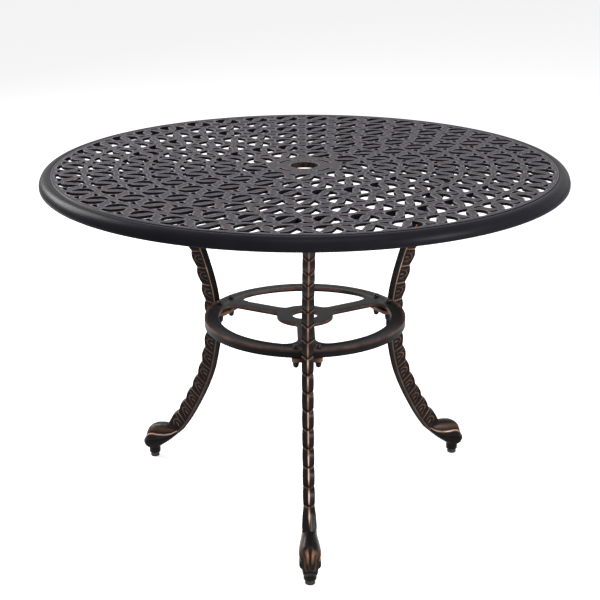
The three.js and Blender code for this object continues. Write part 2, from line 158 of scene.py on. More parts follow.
def pierced_plate(outline, lower_holes, neighbours, height, bottom, place, walled, step, draft=0.0):
    """A plate mesh with soft-edged openings, and a face at the heights that height gives.

    neighbours are openings just outside the outline. The face's loose corners follow every lip
    and fill a grid between them, clear of each other and of the outline.
    """
    holes = [beside(hole, draft) for hole in lower_holes]
    edges = [*holes, *neighbours]
    rounds = [([p for hole in edges for p in beside(hole, distance)], lip_clearance * distance)
              for distance in (edge_round, lip_width)]
    (x_low, y_low), (x_high, y_high) = np.min(outline, 0), np.max(outline, 0)
    rows, columns = int((y_high - y_low) / step) + 1, int((x_high - x_low) / step) + 1
    grid = [(x_low + (i + 0.5 * (j % 2)) * step, y_low + j * step)
            for j in range(rows) for i in range(columns)]
    loose = [p for places, least in [*rounds, (grid, lip_width + grid_clearance * step)]
             for p, gap in zip(places, gaps(places, edges)) if gap > least]
    clear = on_plate(loose, outline, holes) & (gaps(loose, [outline]) > outline_clearance)
    loose = [p for p, keep in zip(loose, clear) if keep]

    mesh = bmesh.new()
    upper, upper_faces, upper_number = triangulate(outline, holes, loose)
    lower, lower_faces, lower_number = triangulate(outline, lower_holes, [])
    heights = height(upper, gaps([tuple(p) for p in upper], edges))
    tops = [mesh.verts.new(place(p.x, p.y, z)) for p, z in zip(upper, heights)]
    bottoms = [mesh.verts.new(place(p.x, p.y, bottom)) for p in lower]
    for face in upper_faces:
        mesh.faces.new([tops[i] for i in face])
    for face in lower_faces:
        mesh.faces.new([bottoms[i] for i in reversed(face)])
    start = 0
    for number, loop in enumerate([outline, *holes]):
        if number or walled:
            for i in range(len(loop)):
                a, b = start + i, start + (i + 1) % len(loop)
                wall = [tops[upper_number[a]], tops[upper_number[b]]]
                mesh.faces.new([*wall, bottoms[lower_number[b]], bottoms[lower_number[a]]])
        start += len(loop)
    return mesh


def lip_heights(points, distances):
    """The height of the plate's face at each distance from an opening."""
    edge = np.clip(1 - distances / edge_round, 0, 1) ** 2 * edge_drop
    fall = np.clip((distances - edge_round) / (lip_width - edge_round), 0, 1)
    return top_face - edge - lip_height * fall ** 2 * (3 - 2 * fall)


crease_angle = 42  # degrees, above which an edge stays sharp


def shade(data, sharp):
    """Shades a mesh smooth up to a crease angle in degrees."""
    data.polygons.foreach_set("use_smooth", [True] * len(data.polygons))
    data.set_sharp_from_angle(angle=math.radians(sharp))


def piece(name, mesh, sharp=crease_angle):
    """An object from a bmesh."""
    data = bpy.data.meshes.new(name)
    mesh.to_mesh(data)
    mesh.free()
    shade(data, sharp)
    made = bpy.data.objects.new(name, data)
    bpy.context.collection.objects.link(made)
    return made


def fill(tree, node, inputs):
    """Sets or links a node's inputs. Another node as a value links its first output in use."""
    for socket, value in inputs.items():
        if isinstance(value, bpy.types.Node):
            value = next(output for output in value.outputs if output.enabled)
        if isinstance(value, bpy.types.NodeSocket):
            tree.links.new(value, node.inputs[socket])
        else:
            node.inputs[socket].default_value = value


def add(tree, kind, inputs=None, **settings):
    """One node with its settings, its inputs set or linked."""
    made = tree.nodes.new(kind)
    for name, value in settings.items():
        setattr(made, name, value)
    fill(tree, made, inputs or {})
    return made


def grow(name, tree, values):
    """A plain mesh object made by a geometry tree from the named input values."""
    holder = bpy.data.objects.new(name, bpy.data.meshes.new(name))
    bpy.context.collection.objects.link(holder)
    modifier = holder.modifiers.new(tree.name, "NODES")
    modifier.node_group = tree
    for item in tree.interface.items_tree:
        if item.in_out == "INPUT" and item.name in values:
            modifier[item.identifier] = values[item.name]
    evaluated = holder.evaluated_get(bpy.context.evaluated_depsgraph_get())
    result = bpy.data.meshes.new_from_object(evaluated)
    holder.modifiers.remove(modifier)
    holder.data = result
    return holder


def around_tree():
    """Sets copies of one body round the upright axis, and joins those that meet."""
    tree = bpy.data.node_groups.new("Copies round the axis", "GeometryNodeTree")
    for title, kind in (("Body", "Object"), ("Count", "Int"), ("First Bearing", "Float"),
                        ("Join Distance", "Float"), ("Finish", "Material")):
        tree.interface.new_socket(title, in_out="INPUT", socket_type=f"NodeSocket{kind}")
    tree.interface.new_socket("Geometry", in_out="OUTPUT", socket_type="NodeSocketGeometry")
    given = add(tree, "NodeGroupInput").outputs
    body = add(tree, "GeometryNodeObjectInfo", {"Object": given["Body"]})
    points = add(tree, "GeometryNodePoints", {"Count": given["Count"]})
    index = add(tree, "GeometryNodeInputIndex")
    spacing = add(tree, "ShaderNodeMath", {0: math.tau, 1: given["Count"]}, operation="DIVIDE")
    bearing = add(tree, "ShaderNodeMath", {
        0: index, 1: spacing, 2: given["First Bearing"]}, operation="MULTIPLY_ADD")
    turn = add(tree, "ShaderNodeCombineXYZ", {"Z": bearing})
    turned = add(tree, "FunctionNodeEulerToRotation", {"Euler": turn})
    placed = add(tree, "GeometryNodeInstanceOnPoints", {
        "Points": points, "Instance": body.outputs["Geometry"], "Rotation": turned})
    real = add(tree, "GeometryNodeRealizeInstances", {"Geometry": placed})
    joined = add(tree, "GeometryNodeMergeByDistance", {
        "Geometry": real, "Distance": given["Join Distance"]})
    finished = add(tree, "GeometryNodeSetMaterial", {
        "Geometry": joined, "Material": given["Finish"]})
    add(tree, "NodeGroupOutput", {0: finished})
    return tree


def colour(code):
    """A linear colour from an sRGB hex value."""
    parts = [int(code[i:i + 2], 16) / 255 for i in (1, 3, 5)]
    return (*[p / 12.92 if p <= 0.04045 else ((p + 0.055) / 1.055) ** 2.4 for p in parts], 1)


def emptied_tree(owner):
    """The node tree of a material or of the world, with nothing in it."""
    owner.use_nodes = True
    owner.node_tree.nodes.clear()
    return owner.node_tree


def new_finish(name, dark, light, patch_mm, rough, detail=3.0, turn=None, grain_mm=None,
               bump=None, specular=None):
    """A finish in uneven patches of two colours, with a finer grain in its gloss and relief.

    turn says where the noise starts and ends to go from dark to light, and how far it goes.
    rough is one roughness, or the two that the grain runs between. bump is a strength and a
    depth in millimetres.
    """
    material = bpy.data.materials.new(name)
    tree = emptied_tree(material)
    shader = add(tree, "ShaderNodeBsdfPrincipled")
    add(tree, "ShaderNodeOutputMaterial", {"Surface": shader})
    place = add(tree, "ShaderNodeTexCoord").outputs["Object"]
    patches = add(tree, "ShaderNodeTexNoise", {
        "Vector": place, "Scale": 1 / (patch_mm * mm), "Detail": detail})
    share = grain = patches
    if turn:
        share = add(tree, "ShaderNodeMapRange", {
            "Value": patches, "From Min": turn[0], "From Max": turn[1], "To Max": turn[2]})
    if grain_mm:
        grain = add(tree, "ShaderNodeTexNoise", {
            "Vector": place, "Scale": 1 / (grain_mm * mm), "Detail": 4.0})
    base = add(tree, "ShaderNodeMix", {
        "Factor": share, "A": colour(dark), "B": colour(light)}, data_type="RGBA")
    if isinstance(rough, tuple):
        rough = add(tree, "ShaderNodeMapRange", {
            "Value": grain, "From Min": 0.2, "From Max": 0.8,
            "To Min": rough[0], "To Max": rough[1]})
    fill(tree, shader, {"Base Color": base, "Roughness": rough})
    if bump:
        relief = add(tree, "ShaderNodeBump", {
            "Height": grain, "Strength": bump[0], "Distance": bump[1] * mm})
        fill(tree, shader, {"Normal": relief})
    if specular is not None:
        shader.inputs["Specular IOR Level"].default_value = specular
    return material, tree, shader, place, patches, base


def brushed_charcoal():
    """Charcoal grey brushed over a black powder coat on cast aluminium.

    The grey lies on the faces of the strands, uneven as a brush leaves it and palest on their
    edges, and a thin brown glaze stays in the hollows. The sheen is low and faintly grainy.
    """
    material, tree, shader, place, _, hollow = new_finish(
        "brushed_charcoal_powder_coat", "#29272b", "#35282a", 30, (0.42, 0.6),
        turn=(0.46, 0.64, 0.7), grain_mm=2.2, bump=(0.25, 0.3), specular=0.15)
    relief = add(tree, "ShaderNodeAttribute", attribute_name="relief").outputs["Fac"]
    strokes = add(tree, "ShaderNodeTexNoise", {
        "Vector": place, "Scale": 1 / (9 * mm), "Detail": 4.0})
    uneven = add(tree, "ShaderNodeMapRange", {
        "Value": strokes, "From Min": 0.3, "From Max": 0.7, "To Min": -0.25, "To Max": 0.12})
    height = add(tree, "ShaderNodeMath", {0: relief, 1: uneven}, operation="ADD", use_clamp=True)
    brushed = add(tree, "ShaderNodeMix", {
        "Factor": height, "A": hollow, "B": colour("#67656d")}, data_type="RGBA")
    fill(tree, shader, {"Base Color": brushed})
    return material


def matt_coat(name, dark, dusty):
    """A matt coat with a little brown glaze in it, for the faces in the openings and below that do
    not
    face up: its darkness there is painted shade."""
    return new_finish(name, dark, dusty, 6, 0.75, turn=(0.35, 0.65, 1.0), specular=0.06)[0]


top_finish = brushed_charcoal()
# The walls of the openings and the underside get near-black painted shade, and the umbrella hole's
# wall gets brown glaze darkened by painted shade
opening_painted_shade = matt_coat("matt_black_painted_shade", "#030303", "#0d0808")
hole_finish = matt_coat("brown_glaze_and_painted_shade", "#150c0a", "#33221d")
around_axis = around_tree()
ring_meshes = []
half_reach = (ring_pitch - joint_band) / 2
edge_steps = 9
edge_shares = [i / edge_steps for i in range(1, edge_steps)]
cell_openings = [leaf_opening_shares, opposite(leaf_opening_shares),
                 web_opening_shares, opposite(web_opening_shares)]
for ring, count in enumerate(cells_per_ring):
    middle = hub_radius + (ring + 0.5) * ring_pitch
    spacing = math.tau * middle / count

    def scaled(points, shift=0.0):
        return [((x + shift) * spacing, y * opening_half_length) for x, y in points]

    def bent(x, y, z):
        angle = x / middle
        out = (middle + y) * mm
        return Vector((out * math.cos(angle), out * math.sin(angle), z * mm))

    holes = [scaled(points) for points in cell_openings]
    beyond = [beside(scaled(points, shift), opening_draft)
              for shift in (-1, 1) for points in cell_openings]
    right = [(x * spacing, y * half_reach) for x, y in cell_side_shares]
    left = [(x - spacing, y) for x, y in right]
    outline = [
        *right[::-1], *[(right[0][0] - share * spacing, half_reach) for share in edge_shares],
        *left, *[(left[-1][0] + share * spacing, -half_reach) for share in edge_shares]]
    cell = piece(f"cell_{ring}", pierced_plate(
        outline, holes, beyond, lip_heights, plate_bottom, bent, False, grid_step, opening_draft))
    made = grow(f"ring_{ring}", around_axis, {
        "Body": cell, "Count": count, "Join Distance": 0.05 * mm, "Finish": top_finish,
        "First Bearing": math.radians(pattern_bearing) - leaf_phase_share * math.tau / count})
    ring_meshes.append(made.data)
    bpy.data.objects.remove(made)
    bpy.data.objects.remove(cell)


def circle_points(radius, count, x=0.0, y=0.0):
    """Corners of a round outline."""
    turns = [math.tau * i / count for i in range(count)]
    return [(x + radius * math.cos(t), y + radius * math.sin(t)) for t in turns]


def at_bearing(bearing, out, across=0.0):
    """A place out from the axis towards a bearing in degrees, and across from there."""
    turn = math.radians(bearing)
    return (out * math.cos(turn) - across * math.sin(turn),
            out * math.sin(turn) + across * math.cos(turn))


def slit_points(bearing):
    """A curved slot in the hub plate with round ends."""
    radius, half_width, half_sweep = 55.0, 3.2, 20
    points = []
    for side in (1, -1):
        for i in range(7):
            reach = radius + side * half_width * (0.55 if i in (0, 6) else 1)
            points.append(at_bearing(bearing + side * half_sweep * (i / 3 - 1), reach))
    return points


def flat_place(x, y, z):
    """A place in metres from one in millimetres."""
    return Vector((x * mm, y * mm, z * mm))


def new_row(mesh, points, z):
    """New corners at one height."""
    return [mesh.verts.new(flat_place(x, y, z)) for x, y in points]


umbrella_hole_radius = 28.5
plug_radius, plug_circle = 2.8, 45.5
hub_edge = hub_radius - joint_band / 2 + 1
hub_step, hub_draft = 5.0, 0.4
hub_holes = [
    circle_points(umbrella_hole_radius, 60),
    *[slit_points(pattern_bearing + turn) for turn in (-48, 48, 132, 228)],
    *[circle_points(plug_radius, 10, *at_bearing(pattern_bearing + turn, plug_circle))
      for turn in (-16, 16, 164, 196)],
]
hub = piece("hub", pierced_plate(
    circle_points(hub_edge, 72), hub_holes, [], lip_heights, plate_bottom, flat_place, False,
    hub_step, hub_draft))
ring_meshes.append(hub.data)
bpy.data.objects.remove(hub)
lattice = bmesh.new()
for data in ring_meshes:
    lattice.from_mesh(data)


def by_bearing(corners):
    """Corners sorted by their bearing."""
    return sorted(corners, key=lambda v: math.atan2(v.co.y, v.co.x))


def new_circle(mesh, radius, count, z):
    """A new row of corners round the axis."""
    return by_bearing(new_row(mesh, circle_points(radius, count), z))


def stitch(mesh, inner, outer):
    """Triangles between two rows of corners round the axis."""
    def bearings(row):
        found = [math.atan2(v.co.y, v.co.x) for v in row]
        return [*found, found[0] + math.tau]
    inside, outside = bearings(inner), bearings(outer)
    i = j = 0
    while i < len(inner) or j < len(outer):
        a, b = inner[i % len(inner)], outer[j % len(outer)]
        if j >= len(outer) or (i < len(inner) and inside[i + 1] <= outside[j + 1]):
            i += 1
            mesh.faces.new((a, b, inner[i % len(inner)]))
        else:
            j += 1
            mesh.faces.new((a, b, outer[j % len(outer)]))


open_corners = {v for e in lattice.edges if e.is_boundary for v in e.verts}
half_height = (top_face + plate_bottom) / 2 * mm


def edge_row(radius, upper):
    """The open corners of one row round the axis, of the face or of the underside."""
    return by_bearing([v for v in open_corners if abs(v.co.xy.length / mm - radius) < 0.6
                       and (v.co.z > half_height) == upper])


rim_sides = 288
outer_edges = []
for upper in (True, False):
    inner = edge_row(hub_edge, upper)
    for ring in range(len(cells_per_ring)):
        boundary = hub_radius + ring * ring_pitch
        between = new_circle(
            lattice, boundary, 72 + 24 * ring, top_face - lip_height if upper else plate_bottom)
        stitch(lattice, inner, between)
        stitch(lattice, between, edge_row(boundary + joint_band / 2, upper))
        inner = edge_row(boundary + ring_pitch - joint_band / 2, upper)
    outer_edges.append(new_circle(
        lattice, lattice_radius, rim_sides, top_face - lip_height / 2 if upper else plate_bottom))
    stitch(lattice, inner, outer_edges[-1])
upper_edge, lower_edge = outer_edges
for i, corner in enumerate(upper_edge):
    after = (i + 1) % len(upper_edge)
    lattice.faces.new((corner, upper_edge[after], lower_edge[after], lower_edge[i]))
bmesh.ops.recalc_face_normals(lattice, faces=lattice.faces)


def join_rows(mesh, rows):
    """Faces between rows of corners that each run round. A row of one corner is a tip."""
    for low, high in zip(rows, rows[1:]):
        for i in range(max(len(low), len(high))):
            sides = ((low, i), (low, i + 1), (high, i + 1), (high, i))
            mesh.faces.new(list(dict.fromkeys(row[k % len(row)] for row, k in sides)))


def revolve(name, outline, steps, x=0.0, y=0.0):
    """A closed piece turned about an upright axis, from an outline of radius and height."""
    mesh = bmesh.new()
    rows = [new_row(mesh, circle_points(radius, steps if radius else 1, x, y), z)
            for radius, z in outline]
    join_rows(mesh, rows if len(rows[0]) == 1 else [*rows, rows[0]])
    bmesh.ops.recalc_face_normals(mesh, faces=mesh.faces)
    return piece(name, mesh)


def unite(base, others):
    """Joins closed bodies into one skin."""
    for other in others:
        modifier = base.modifiers.new("joined", "BOOLEAN")
        modifier.operation = "UNION"
        modifier.solver = "MANIFOLD"
        modifier.object = other
    evaluated = base.evaluated_get(bpy.context.evaluated_depsgraph_get())
    result = bpy.data.meshes.new_from_object(evaluated)
    base.modifiers.clear()
    base.data = result
    for other in others:
        bpy.data.objects.remove(other)
    result.materials.clear()
    shade(result, crease_angle)
    return base


def rib_outline(middle, width):
    """A deep rib's section, a little narrower at its lower edge and sunk into the plate above."""
    taper, sunk = 0.6, plate_bottom + plate_thickness / 2
    inside, outside = middle - width / 2, middle + width / 2
    return [(inside + taper, rib_bottom), (outside - taper, rib_bottom), (outside, rib_bottom + 1.5),
            (outside, sunk), (inside, sunk), (inside, rib_bottom + 1.5)]


def corner_places(made):
    """The places of a piece's corners in millimetres."""
    places = np.empty(len(made.data.vertices) * 3)
    made.data.vertices.foreach_get("co", places)
    return places.reshape(-1, 3) / mm


def store(made, name, values):
    """Keeps one number for each corner, for the material to read."""
    made.data.attributes.new(name, "FLOAT", "POINT").data.foreach_set("value", values)


leg_bearings = {"front": 270, "right": 30, "left": 150}
leg_bolt_radius = hub_radius + 5 * ring_pitch
bolt_spacing = 44.7
bolt_places = [
    (bearing, side * bolt_spacing / 2) for bearing in leg_bearings.values() for side in (-1, 1)]
bore_radius, boss_radius = 3.3, 6.5
boss_outline = [(bore_radius, rib_bottom), (boss_radius, rib_bottom),
                (boss_radius, plate_bottom + 1), (bore_radius, plate_bottom + 1)]
top = unite(piece("pierced_top", lattice), [
    revolve("hole_wall", rib_outline(31.5, 6.0), 60),
    revolve("inner_rib", rib_outline(hub_radius + 2 * ring_pitch, 8.0), 180),
    revolve("outer_rib", rib_outline(leg_bolt_radius, 8.0), 240),
    *[revolve("boss", boss_outline, 24, *at_bearing(bearing, leg_bolt_radius, across))
      for bearing, across in bolt_places],
])
# How far up each corner of the face stands, from 0 in the hollows to 1 on the edges
store(top, "relief", np.clip((corner_places(top)[:, 2] - top_face + lip_height) / lip_height, 0, 1))
for finish in (top_finish, opening_painted_shade, hole_finish):
    top.data.materials.append(finish)
# Faces that do not face up get the coats of painted shade: near-black, and brown in the umbrella
# hole
for face in top.data.polygons:
    in_hole = face.center.xy.length < (umbrella_hole_radius + 1) * mm
    face.material_index = 0 if face.normal.z > 0.35 else 2 if in_hole else 1
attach(top, "table")
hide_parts("tabletop_lattice")

# Rim: a rounded aluminium band with a skirt below, cast with a shallow groove and a bead where it
# meets the pierced middle, and welded to it from below. Same coat, smoother and darker.
rim_low, rim_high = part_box("tabletop_rim")
rim_radius = rim_high.x / mm
rim_bottom = rim_low.z / mm
rim_inside = lattice_radius + 0.05
# Its section: out from the inner edge and down from the top face, round the bead and the groove
# to the shoulder, then in from the outer edge and up from the lower one, and the ledge inside
rim_face = [
    (0, 0.5), (1.6, 0.6), (2.6, 0.15), (3.5, 0), (4.4, 0.25), (5.2, 1.5), (6.4, 1.2), (8, 0.5),
    (11.5, 0.35), (15, 0.95), (18.5, 2.2), (21.5, 4.1), (24, 6.6), (26, 9.8), (27.4, 13.6),
]
rim_skirt = [(0, 3.2), (0.5, 1.3), (1.6, 0.2), (2.6, 0), (3.6, 0.5), (4, 1.6), (4, 11), (5, 13.5)]
rim = revolve("tabletop_edge_band", [
    (rim_inside, plate_bottom - 0.3),
    *[(rim_inside + out, top_face - down) for out, down in rim_face], (rim_radius, top_face - 17.6),
    *[(rim_radius - back, rim_bottom + up) for back, up in rim_skirt],
    (rim_radius - 8, plate_bottom - 4.3), (rim_inside - 4.4, plate_bottom - 4.3),
    (rim_inside - 5, plate_bottom - 3.8), (rim_inside - 5, plate_bottom - 0.3),
], rim_sides)


def smooth_charcoal():
    """The same coat on the smooth band: darker, with a soft sheen and only fine grain.

    A pale line on the bead is partly rubbed and partly a painted highlight, and a black line in
    the groove is painted shade.
    """
    material, tree, shader, place, _, base = new_finish(
        "charcoal_powder_coat", "#121116", "#1c1b20", 55, (0.28, 0.38), detail=4.0,
        grain_mm=1.8, bump=(0.12, 0.2), specular=0.03)
    level = add(tree, "ShaderNodeVectorMath", {0: place, 1: (1, 1, 0)}, operation="MULTIPLY")
    radius = add(tree, "ShaderNodeVectorMath", {0: level}, operation="LENGTH")
    # The pale bead line, partly a painted highlight, and the black groove line of painted shade
    for out, reach, tint in ((2.9, 1.4, "#55535a"), (5.6, 1.7, "#020202")):
        line_radius = (rim_inside + out) * mm
        past = add(tree, "ShaderNodeMath", {0: radius, 1: line_radius}, operation="SUBTRACT")
        away = add(tree, "ShaderNodeMath", {0: past}, operation="ABSOLUTE")
        share = add(tree, "ShaderNodeMapRange", {
            "Value": away, "From Min": 0.3 * mm, "From Max": reach * mm,
            "To Min": 1.0, "To Max": 0.0})
        base = add(tree, "ShaderNodeMix", {
            "Factor": share, "A": base, "B": colour(tint)}, data_type="RGBA")
    fill(tree, shader, {"Base Color": base})
    return material


rim.data.materials.append(smooth_charcoal())
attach(rim, "table")
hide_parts("tabletop_rim")

# Legs: three bowed aluminium castings in antique bronze. The inside is flat between two beads,
# the outside is a row of lobes with a ridge down the middle, and each ends in a hoof.
# A bracket carries the ring and a flange under the top takes two bolts.
foot_radius = 397.0
waist_radius, waist_height = 227.0, 370.0
neck_radius, neck_height = foot_radius - 60.0, 85.0
flange_top = rib_bottom - 0.3
flange_thickness = 7.0
spine_top = flange_top - flange_thickness / 2
lobe_count = 17
hoof_lobe_length = 43.0
leg_width = 24.0
leg_swell_share = 0.2  # of the depth, gained from the waist down to the neck
upper_spine_shares = [
    (0.01, 0.072), (0.055, 0.188), (0.143, 0.318), (0.256, 0.445), (0.475, 0.615), (0.72, 0.765),
    (1, 1),
]
lower_spine_shares = [
    (1, 1), (0.761, 0.877), (0.531, 0.73), (0.327, 0.579), (0.177, 0.439), (0.08, 0.298),
    (0.018, 0.158),
]


def spine_points():
    """The line that the leg's sections are set on, from the hoof's neck to the flange."""
    fall, rise = waist_height - neck_height, spine_top - waist_height
    lower = [(waist_radius + out * (neck_radius - waist_radius), waist_height - down * fall)
             for out, down in lower_spine_shares]
    upper = [(waist_radius + out * (leg_bolt_radius - waist_radius), waist_height + up * rise)
             for out, up in upper_spine_shares]
    knots = [Vector(p) for p in [*lower, (waist_radius, waist_height), *upper]]
    knots = [2 * knots[0] - knots[1], *knots, 2 * knots[-1] - knots[-2]]
    fine_steps = 24
    fine = []
    for a, b, c, d in zip(knots, knots[1:], knots[2:], knots[3:]):
        for i in range(fine_steps):
            t = i / fine_steps
            fine.append(0.5 * (2 * b + (c - a) * t + (2 * a - 5 * b + 4 * c - d) * t ** 2
                               + (3 * b - a - 3 * c + d) * t ** 3))
    return [*fine, knots[-2]]


spine = spine_points()
spine_lengths = [0.0]
for a, b in zip(spine, spine[1:]):
    spine_lengths.append(spine_lengths[-1] + (b - a).length)
lobe_length = (spine_lengths[-1] - hoof_lobe_length) / lobe_count


def spine_at(distance):
    """Place and direction along the spine."""
    def place(at):
        return Vector([np.interp(at, spine_lengths, [p[k] for p in spine]) for k in (0, 1)])
    ahead, behind = min(distance + 4, spine_lengths[-1]), max(distance - 4, 0)
    return place(distance), (place(ahead) - place(behind)).normalized()


def smooth_step(value, low, high):
    """0 below low, 1 above high and smooth between."""
    t = min(max((value - low) / (high - low), 0), 1)
    return t * t * (3 - 2 * t)


def near(value, spread):
    """1 on a line and falling off beside it."""
    return math.exp(-(value / spread) ** 2)


# The flat inner face and the bead beside it: out in millimetres from the face, across, rubbed.
# The inner face's -0.9 and the -0.5 at its edge are painted shade.
inner_steps = [
    (1.0, 0.0, -0.9), (1.0, 5.0, -0.9), (0.9, 7.6, -0.9), (0.2, 8.7, -0.5), (0, 9.7, 0.06)]
bead_steps = [(0.9, 10.5, 0.22), (1.9, 10.4, 0.18)]
# From the shoulder to the ridge: out in millimetres, across in shares of the half width
crest_steps = [(0.7, 0.95), (1.5, 0.82), (2.2, 0.66), (2.9, 0.5), (3.5, 0.37), (4.1, 0.26),
               (4.9, 0.15), (5.2, 0.06), (5.25, 0)]


def leg_profile(share_along, t, cut):
    """Half a leg section from the middle of the inner face to the ridge: (out, across, rubbed).

    t runs up one lobe, from the joint below it to the joint above. cut is how deep the joint is
    carved, 0 where the stem runs into the hoof. rubbed is below 0 where shade is painted near-black,
    and its highest values on the ridge are a painted highlight.
    """
    swell = 1 + leg_swell_share * max(0.0, 1 - 2 * share_along)
    inner, outer = 13.5 * swell, 15.0 * swell * (0.8 + 0.2 * cut)
    full = t + 0.3 * (1 - cut)
    bulge = math.sin(math.pi * full ** 1.35) ** 0.8 if 0 < full < 1 else 0.0
    half_width = leg_width / 2 - 0.7 + 0.7 * bulge
    shoulder = outer + 4.5 * bulge - 5.2
    # Harder rub on the upper leg lifts its bead into the pale tone, which is partly a painted
    # highlight
    upper = 1 + 1.3 * smooth_step(share_along, 0.42, 0.6)  # the upper leg is rubbed harder
    profile = [(out - inner, across, rub) for out, across, rub in (
        *inner_steps, *[(out, across, rub * (2 * upper - 1)) for out, across, rub in bead_steps],
        (3.0, 10.0, 0.03))]
    start, side_steps = 4.0 - inner, 14
    for i in range(side_steps + 1):
        share = i / side_steps
        leaned = t + 0.16 * (1 - share)
        past = (leaned + 0.5) % 1 - 0.5
        # The line along a joint, the fold above it, and the cupped side of the lobe, with painted
        # shade darkest in the middle of the cup
        line = near(past, 0.022) * (0.34 + 0.2 * share) * cut * (0.5 + 0.5 * upper)
        fold = near(past + 0.28 - 0.1 * share, 0.04) * 0.16 * smooth_step(share, 0.2, 0.6)
        cup = math.sqrt(((t - 0.36) / 0.34) ** 2 + ((share - 0.36) / 0.42) ** 2)
        hollow = 2.0 * smooth_step(1.1 - cup, 0, 0.8) + 1.0 * near(past - 0.07, 0.045)
        painted_shade = -0.25 - 0.35 * smooth_step(0.9 - cup, 0, 0.6)
        # The figure carved in it: an arch open at its foot, with a vein between its sides
        arch = near(math.hypot((leaned % 1 - 0.52) / 0.25, (share - 0.2) / 0.55) - 1, 0.13)
        arch *= smooth_step(share, 0.05, 0.2)
        vein = near(leaned % 1 - 0.52, 0.045) * smooth_step(0.6 - share, 0, 0.12)
        vein *= smooth_step(share, 0.08, 0.2)
        figure = cut * max(0.24 * arch, 0.3 * vein)
        rub = max(line, fold, figure)
        across = 10.3 + (half_width - 10.3) * share ** 0.7 + 0.5 * line + 1.2 * figure - hollow
        profile.append((start + (shoulder - start) * share, across,
                        rub if rub > 0.05 else painted_shade * cut))
    for out, across in crest_steps:
        # The groove at a joint with painted shade in it, the curl above it, and the copper ridge,
        # made brighter along each lobe as a painted highlight
        joint = (t - 0.17 * across ** 1.5 + 0.5) % 1 - 0.5
        groove = near(joint - 0.06 * across, 0.026 + 0.085 * across) * cut
        curl = near(joint + 0.1, 0.034) * 0.36 * smooth_step(across, 0.2, 0.45) * cut
        ridge_highlight = 0.5 + 0.5 * max(smooth_step(t, 0.3, 0.85) * smooth_step(0.75 - share_along, 0, 0.4),
                                 smooth_step(0.42 - share_along, 0, 0.2))
        ridge_highlight *= 1 - 0.5 * smooth_step(t, 0.5, 0.95) * smooth_step(0.17 - share_along, 0, 0.06)
        taper = (0.18 - 0.08 * smooth_step(0.35 - t, 0, 0.35)) * cut
        rub = max(curl, smooth_step(taper - across, 0, 0.12) * (1 - near(joint, 0.06)) * ridge_highlight)
        profile.append((shoulder + out - 2.4 * groove * (0.45 + 0.55 * across), half_width * across,
                        rub if rub > 0.02 else -groove * (0.35 + 0.65 * across)))
    return profile


def tube(mesh, rows):
    """Joins rows of corners and closes both ends."""
    join_rows(mesh, rows)
    mesh.faces.new(rows[0][::-1])
    mesh.faces.new(rows[-1])
    bmesh.ops.recalc_face_normals(mesh, faces=mesh.faces)
    return mesh


def carved_body(halves):
    """A closed body from half sections of (x, y, z, rubbed), mirrored across the leg.

    rubbed becomes an attribute that says where the bronze is worn to copper, with painted shade
    below 0 and a painted highlight at its highest.
    """
    mesh = bmesh.new()
    rubbed = mesh.verts.layers.float.new("rubbed")
    rows = []
    for half in halves:
        rows.append([])
        for x, y, z, rub in [*half, *[(x, -y, z, rub) for x, y, z, rub in half[-2:0:-1]]]:
            rows[-1].append(mesh.verts.new(flat_place(x, y, z)))
            rows[-1][-1][rubbed] = rub
    return tube(mesh, rows)


def leg_mesh():
    """The bowed stem with its lobes, its lower end bent back into the hoof's dome."""
    lobe_steps, hoof_steps = 28, 44
    stations = [hoof_lobe_length * i / hoof_steps for i in range(hoof_steps)]
    stations += [hoof_lobe_length + lobe_length * i / lobe_steps
                 for i in range(lobe_count * lobe_steps + 1)]
    halves = []
    for distance in stations:
        place, along = spine_at(distance)
        outward = Vector((along.y, -along.x))
        past_hoof = distance - hoof_lobe_length
        t = distance / hoof_lobe_length if past_hoof < 0 else (past_hoof / lobe_length) % 1
        spread = 1 + 0.25 * (1 - smooth_step(distance, 0, hoof_lobe_length))
        buried = 10 * (1 - smooth_step(distance, 0, 19))
        halves.append([])
        cut = smooth_step(distance, 3, 19)
        for out, across, rub in leg_profile(distance / spine_lengths[-1], t, cut):
            point = place + outward * out - along * max(out, 0) / 15 * buried
            halves[-1].append((point.x, across * spread, point.y, rub))
    return carved_body(halves)


# Stations of the hoof in millimetres from the foot's axis: place, sole, ledge, crown, and the half
# widths of the ledge, of the toe cap's lower edge and of the sole
hoof_stations = [
    (-72, 74, 80.5, 86, 13.5, 11.5, 11), (-56, 59, 70, 88.5, 16.5, 12.5, 12),
    (-41, 45.5, 65.5, 89.5, 19.3, 15, 13), (-24, 33, 63.5, 88, 21.2, 18.5, 14),
    (-9, 22, 63.5, 84.5, 21.9, 21, 15), (0, 20.5, 61, 80.5, 21.8, 21.8, 15.5),
    (5, 20.5, 57.5, 77, 20.8, 22, 15.5), (9, 20.5, 54.5, 72.5, 19.2, 22, 15.5),
    (12, 21.5, 52, 67.5, 15.6, 21.5, 15.3), (14.2, 22.5, 49.5, 60, 14.6, 20, 15),
    (15.6, 23.5, 47, 51, 14.2, 16, 14.8), (17, 24.5, 45, 48, 14.2, 14.6, 14.4),
    (19.5, 27, 41, 45.5, 13.4, 13.5, 13.4), (22.5, 31, 38, 42, 11.5, 11.5, 11.5),
    (25, 34.5, 36.5, 39.5, 7, 7, 7),
]


